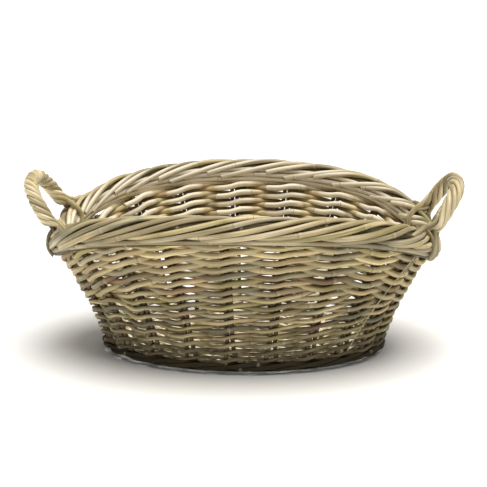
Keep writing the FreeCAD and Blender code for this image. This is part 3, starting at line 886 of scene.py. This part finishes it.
def strandTail(point, direction, angle, kind, rng):
    # from the winding's end down to the border, then along a route: height from its underside, distance out
    # from its middle, and turn away from the handle
    side = 1 if point[1] > 0 else -1
    near = angle * side + rng.uniform(-0.012, 0.012)
    top = wall["borderHeight"]
    if kind == "over":
        # along the border's top and in between its rods
        reach = rng.uniform(0.85, 1.15)
        route = [(top * 1.08, 0.001, 0.035 * reach), (top, 0.006, 0.09 * reach),
                 (top * 0.84, 0.009, 0.15 * reach), (top * 0.6, 0.006, 0.2 * reach)]
    elif kind == "outside":
        route = [(top * 0.9, 0.015, 0), (top * 0.4, 0.017, 0.01),
                 (0.003, 0.0145, 0.012), (-0.005, 0.009, 0.012)]
    elif kind == "inside":
        route = [(top * 0.9, -0.015, 0), (top * 0.4, -0.017, 0), (0, -0.015, 0), (-0.012, -0.0125, 0)]
    else:
        route = [(top * 0.7, 0, 0), (top * 0.4, 0, 0)]
    shift = (point - borderPoint(np.array(near), 0, 0))[1] / halfWidth(point[2])
    spots = [borderPoint(np.array(near + shift * 0.5 + side * turn), rise, out) for rise, out, turn in route]
    return quadraticSpline([point, point + direction * 0.012] + spots, 8)


def makeHandle(name, turned, rng):
    look = handle[name]
    axis, angle = handleAxis()
    lowest = wallTop(angle) + wall["borderHeight"] + handle["windFrom"]
    wound = axis[axis[:, 2] > lowest]
    bundle = newBundle()
    flip = np.array([-1, -1, 1]) if turned else np.array([1, 1, 1])
    kinds = look["ends"]
    for number, kind in enumerate(kinds):
        strand, outwards = woundStrand(wound, number, look["pitch"], rng)
        otherKind = kinds[(number + len(kinds) // 2) % len(kinds)]
        first = strandTail(strand[0], strand[0] - strand[2], angle, kind, rng)
        last = strandTail(strand[-1], strand[-1] - strand[-3], angle, otherKind, rng)
        line = np.vstack([first[:0:-1], strand[1:-1], last[1:]])
        # painted shade on each strand's side towards the core, and half shade all round its ends
        away = np.vstack([first[:0:-1] * 0, outwards[1:-1], last[1:] * 0])
        both = resample(np.hstack([line, away]), handle["step"])
        line = smoothLine(both[:, :3], 4) * flip
        addCane(bundle, line, handle["strand"] + rng.uniform(-0.0003, 0.0004), rng, away=both[:, 3:] * flip)
    makePiece(f"handle_strands_{name}", bundle, handleMaterial, f"handle_wrap_{name}")


def makeTails(name, turned, rng):
    # loose ends at each foot, down the outside of the border and in under it
    bundle = newBundle()
    flip = np.array([-1, -1, 1]) if turned else np.array([1, 1, 1])
    top = wall["borderHeight"]
    route = [(top * 0.95, 0.008), (top * 0.78, 0.015), (top * 0.4, 0.0172), (0.004, 0.016), (-0.004, 0.0095)]
    for side in (1, -1):
        for step in handle[name]["tails"]:
            angle = side * (math.radians(handle["footAngle"]) + step * handle["tailSpread"])
            angle = np.array(angle + rng.uniform(-0.01, 0.01))
            line = quadraticSpline([borderPoint(angle, rise, out) for rise, out in route], 8)
            line = resample(line, handle["step"]) * flip
            addCane(bundle, line, handle["tail"], rng, (0.2, rng.uniform(0, 0.2), 0.5))
    makePiece(f"handle_loose_ends_{name}", bundle, sidingMaterial, f"handle_tails_{name}")


def makeHandles():
    rng = np.random.default_rng(handle["seed"])
    for name, turned in (("right", False), ("left", True)):
        makeHandle(name, turned, rng)
        makeTails(name, turned, rng)


makeHandles()
print("handles wound")


# the base: oval rounds woven over and under the sticks, and a twisted foot ring under the edge

base = {
    "seed": 41,
    "cane": 0.0060,
    "caneSpread": 0.0003,
    "pitch": 0.0064,            # from one round to the next
    "innerHalfWidth": 0.027,    # half the width that is left bare in the middle
    "step": 0.0045,
    "overlap": 1.004,           # a round's end runs on a little beside its start
    "bends": (-0.135, 0.155),   # where along the basket the long sticks start to fan out
}


def rowAt(points, x, reach):
    # how far from the middle a stick runs, near one place along it; a straight one is in the middle
    near = points[abs(points[:, 0] - x) < reach][:, 1]
    return (near.min() + near.max()) / 2 if len(near) else 0.0


def stickLines():
    # each stick as a straight or bent line seen from above, read from its node
    lines = []
    for name in sorted(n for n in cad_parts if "_stick_" in n):
        low, high = nodeBox(name)
        if name.startswith("cross"):
            x = (low[0] + high[0]) / 2
            lines.append(np.array([[x, low[1]], [x, high[1]]]))
            continue
        points = np.array([v.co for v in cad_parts[name].data.vertices])
        first, last = ([x, rowAt(points, x, 0.006)] for x in (low[0] + 0.002, high[0] - 0.002))
        row = rowAt(points, 0, 0.16)
        lines.append(np.array([first] + [[x, row] for x in base["bends"]] + [last]))
    return lines


def crossings(halfA, halfB, lines):
    # the angles at which an oval passes over the sticks
    angles = np.linspace(0, 2 * math.pi, 1441)
    oval = np.stack([halfA * np.cos(angles), halfB * np.sin(angles)], axis=1)
    found = []
    for line in lines:
        for start, end in zip(line, line[1:]):
            along = end - start
            normal = np.array([-along[1], along[0]])
            side = (oval - start) @ normal
            share = ((oval - start) @ along) / (along @ along)
            hit = np.nonzero((side[:-1] * side[1:] <= 0) & (share[:-1] >= 0) & (share[:-1] < 1))[0]
            found += list(angles[hit])
    return np.array(sorted(found))


def makeBase():
    rng = np.random.default_rng(base["seed"])
    upper, under = nodeBox("base_weave_upper"), nodeBox("base_weave_under")
    level = (upper[1][2] + under[0][2]) / 2
    halfA, halfB = upper[1][0], upper[1][1]
    lines = stickLines()
    reach = (upper[1][2] - under[0][2]) / 2 - base["cane"] / 2
    rounds = int((halfB - base["innerHalfWidth"]) / base["pitch"])
    groups = {"upper": newBundle(), "under": newBundle()}
    for number in range(rounds):
        inset = base["cane"] / 2 + number * base["pitch"]
        a, b = halfA - inset, halfB - inset
        marks = crossings(a, b, lines)
        marks = marks[np.append(True, np.diff(marks) > 0.02)]
        count = len(marks) // 2 * 2     # an even number, so that over and under take turns all round
        marks = marks[:count]
        laps = np.concatenate([marks - 2 * math.pi, marks, marks + 2 * math.pi])
        index = np.arange(-count, 2 * count)
        length = 2 * math.pi * math.sqrt((a * a + b * b) / 2)
        turn = np.linspace(0, 2 * math.pi * base["overlap"], int(length / base["step"]))
        place = np.interp(turn, laps, index)
        wave = np.cos(math.pi * (place + number))
        z = level + reach * wave + slowWave(rng, turn, 2.1, 0.0003)
        line = np.stack([a * np.cos(turn), b * np.sin(turn), z], axis=1)
        bundle = groups["upper" if number % 2 else "under"]
        # painted light on the tops of the rounds, painted shade underneath
        away = np.tile([0, 0, 1, 0.8], (len(turn), 1))
        thickness = base["cane"] + rng.uniform(-1, 1) * base["caneSpread"]
        addCane(bundle, line, thickness, rng, away=away)
    makePiece("base_rounds_even", groups["upper"], sidingMaterial, "base_weave_upper")
    makePiece("base_rounds_odd", groups["under"], sidingMaterial, "base_weave_under")


foot = {
    "seed": 47,
    "strands": 4,
    "strand": 0.0036,
    "pitch": 0.085,     # roughly the length of one full twist
    "step": 0.004,
}


def makeFootRing():
    rng = np.random.default_rng(foot["seed"])
    low, high = nodeBox("foot_ring")
    points = np.array([v.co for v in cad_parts["foot_ring"].data.vertices])
    inner = points[abs(points[:, 1]) < 0.02][:, 0]
    inner = inner[inner > 0].min()
    width = high[0] - inner
    halfA, halfB = high[0] - width / 2, high[1] - width / 2
    length = 2 * math.pi * math.sqrt((halfA ** 2 + halfB ** 2) / 2)
    turns = round(length / foot["pitch"])
    turn = np.linspace(0, 2 * math.pi, int(length / foot["step"]))
    bundle = newBundle()
    for number in range(foot["strands"]):
        wind = turns * turn + 2 * math.pi * number / foot["strands"]
        out = (width / 2 - foot["strand"] / 2) * np.cos(wind)
        z = (low[2] + high[2]) / 2 + (high[2] - low[2] - foot["strand"]) / 2 * np.sin(wind)
        line = np.stack([(halfA + out) * np.cos(turn), (halfB + out) * np.sin(turn), z], axis=1)
        away = -np.stack([np.cos(turn), np.sin(turn), 0 * turn], axis=1)      # painted shade, darkest on its outside
        addCane(bundle, line, foot["strand"], rng, (rng.uniform(0, 0.4), 0.1, 1.0), slant=0.0, away=away)
    makePiece("foot_ring_twist", bundle, sidingMaterial, "foot_ring")


makeBase()
makeFootRing()
print("base woven")


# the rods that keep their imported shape

def finishRods():
    for name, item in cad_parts.items():
        if name.startswith(("stake_pair", "handle_core")):
            material = stakeMaterial
        elif name.startswith("cross_stick"):
            material = crossStickMaterial
        elif name.startswith("long_stick"):
            material = longStickMaterial
        else:
            continue
        for place in item.material_slots:
            place.material = material
        if not item.material_slots:
            item.data.materials.append(material)


finishRods()
print("rods finished")


# the room: a pale floor, soft light from above, and the camera

room = {
    "floorSize": 30.0,
    "floorColor": (0.93, 0.93, 0.92, 1),
    "worldLight": 0.30,     # what the room's soft light adds
    "worldSeen": 1.05,      # how bright the backdrop looks
    "sunStrength": 3.7,
    "sunSize": 48.0,        # degrees across: a wide one casts soft shadows
    "sunColor": (1.0, 0.98, 0.95),
    "sunPlace": (0.12, -0.08, 1.0),
    "cameraDistance": 2.30, # from the point measuredAt, at this rise and turn in degrees
    "cameraRise": 16.3,
    "cameraTurn": 2.0,
    "measuredAt": (0, 0, 0.120),
    "lookAt": (0, 0, 0.163),
    "lens": 113.0,          # millimetres
}


def makeFloor():
    mesh = bpy.data.meshes.new("floor")
    half = room["floorSize"] / 2
    corners = [(-half, -half, 0), (half, -half, 0), (half, half, 0), (-half, half, 0)]
    mesh.from_pydata(corners, [], [(0, 1, 2, 3)])
    floor = bpy.data.objects.new("floor", mesh)
    bpy.context.scene.collection.objects.link(floor)
    material = bpy.data.materials.new("paleFloor")
    material.use_nodes = True
    tree = material.node_tree
    shader = tree.nodes["Principled BSDF"]
    shader.inputs["Base Color"].default_value = room["floorColor"]
    shader.inputs["Roughness"].default_value = 0.9
    shader.inputs["Specular IOR Level"].default_value = 0.1
    mesh.materials.append(material)


def makeLight():
    world = bpy.data.worlds.new("studio")
    world.use_nodes = True
    tree = world.node_tree
    background = tree.nodes["Background"]
    background.inputs[0].default_value = (1, 1, 1, 1)
    seen = addNode(tree, "ShaderNodeLightPath").outputs["Is Camera Ray"]
    levels = {"Value": seen, "To Min": room["worldLight"], "To Max": room["worldSeen"]}
    strength = addNode(tree, "ShaderNodeMapRange", levels)
    tree.links.new(strength.outputs[0], background.inputs[1])
    bpy.context.scene.world = world
    lamp = bpy.data.lights.new("overhead", "SUN")
    lamp.angle = math.radians(room["sunSize"])
    lamp.energy = room["sunStrength"]
    lamp.color = room["sunColor"]
    overhead = bpy.data.objects.new("overhead", lamp)
    overhead.location = room["sunPlace"]
    overhead.rotation_euler = (-Vector(room["sunPlace"])).to_track_quat("-Z", "Y").to_euler()
    bpy.context.scene.collection.objects.link(overhead)


def makeCamera():
    lens = bpy.data.cameras.new("camera")
    lens.lens = room["lens"]
    lens.sensor_width = 36.0
    lens.clip_end = 60.0
    camera = bpy.data.objects.new("camera", lens)
    rise, turn = math.radians(room["cameraRise"]), math.radians(room["cameraTurn"])
    away = Vector((math.sin(turn) * math.cos(rise), -math.cos(turn) * math.cos(rise), math.sin(rise)))
    camera.location = Vector(room["measuredAt"]) + away * room["cameraDistance"]
    camera.rotation_euler = (Vector(room["lookAt"]) - camera.location).to_track_quat("-Z", "Y").to_euler()
    bpy.context.scene.collection.objects.link(camera)
    bpy.context.scene.camera = camera


makeFloor()
makeLight()
makeCamera()
bpy.context.scene.view_settings.view_transform = "Standard"
print("room set")
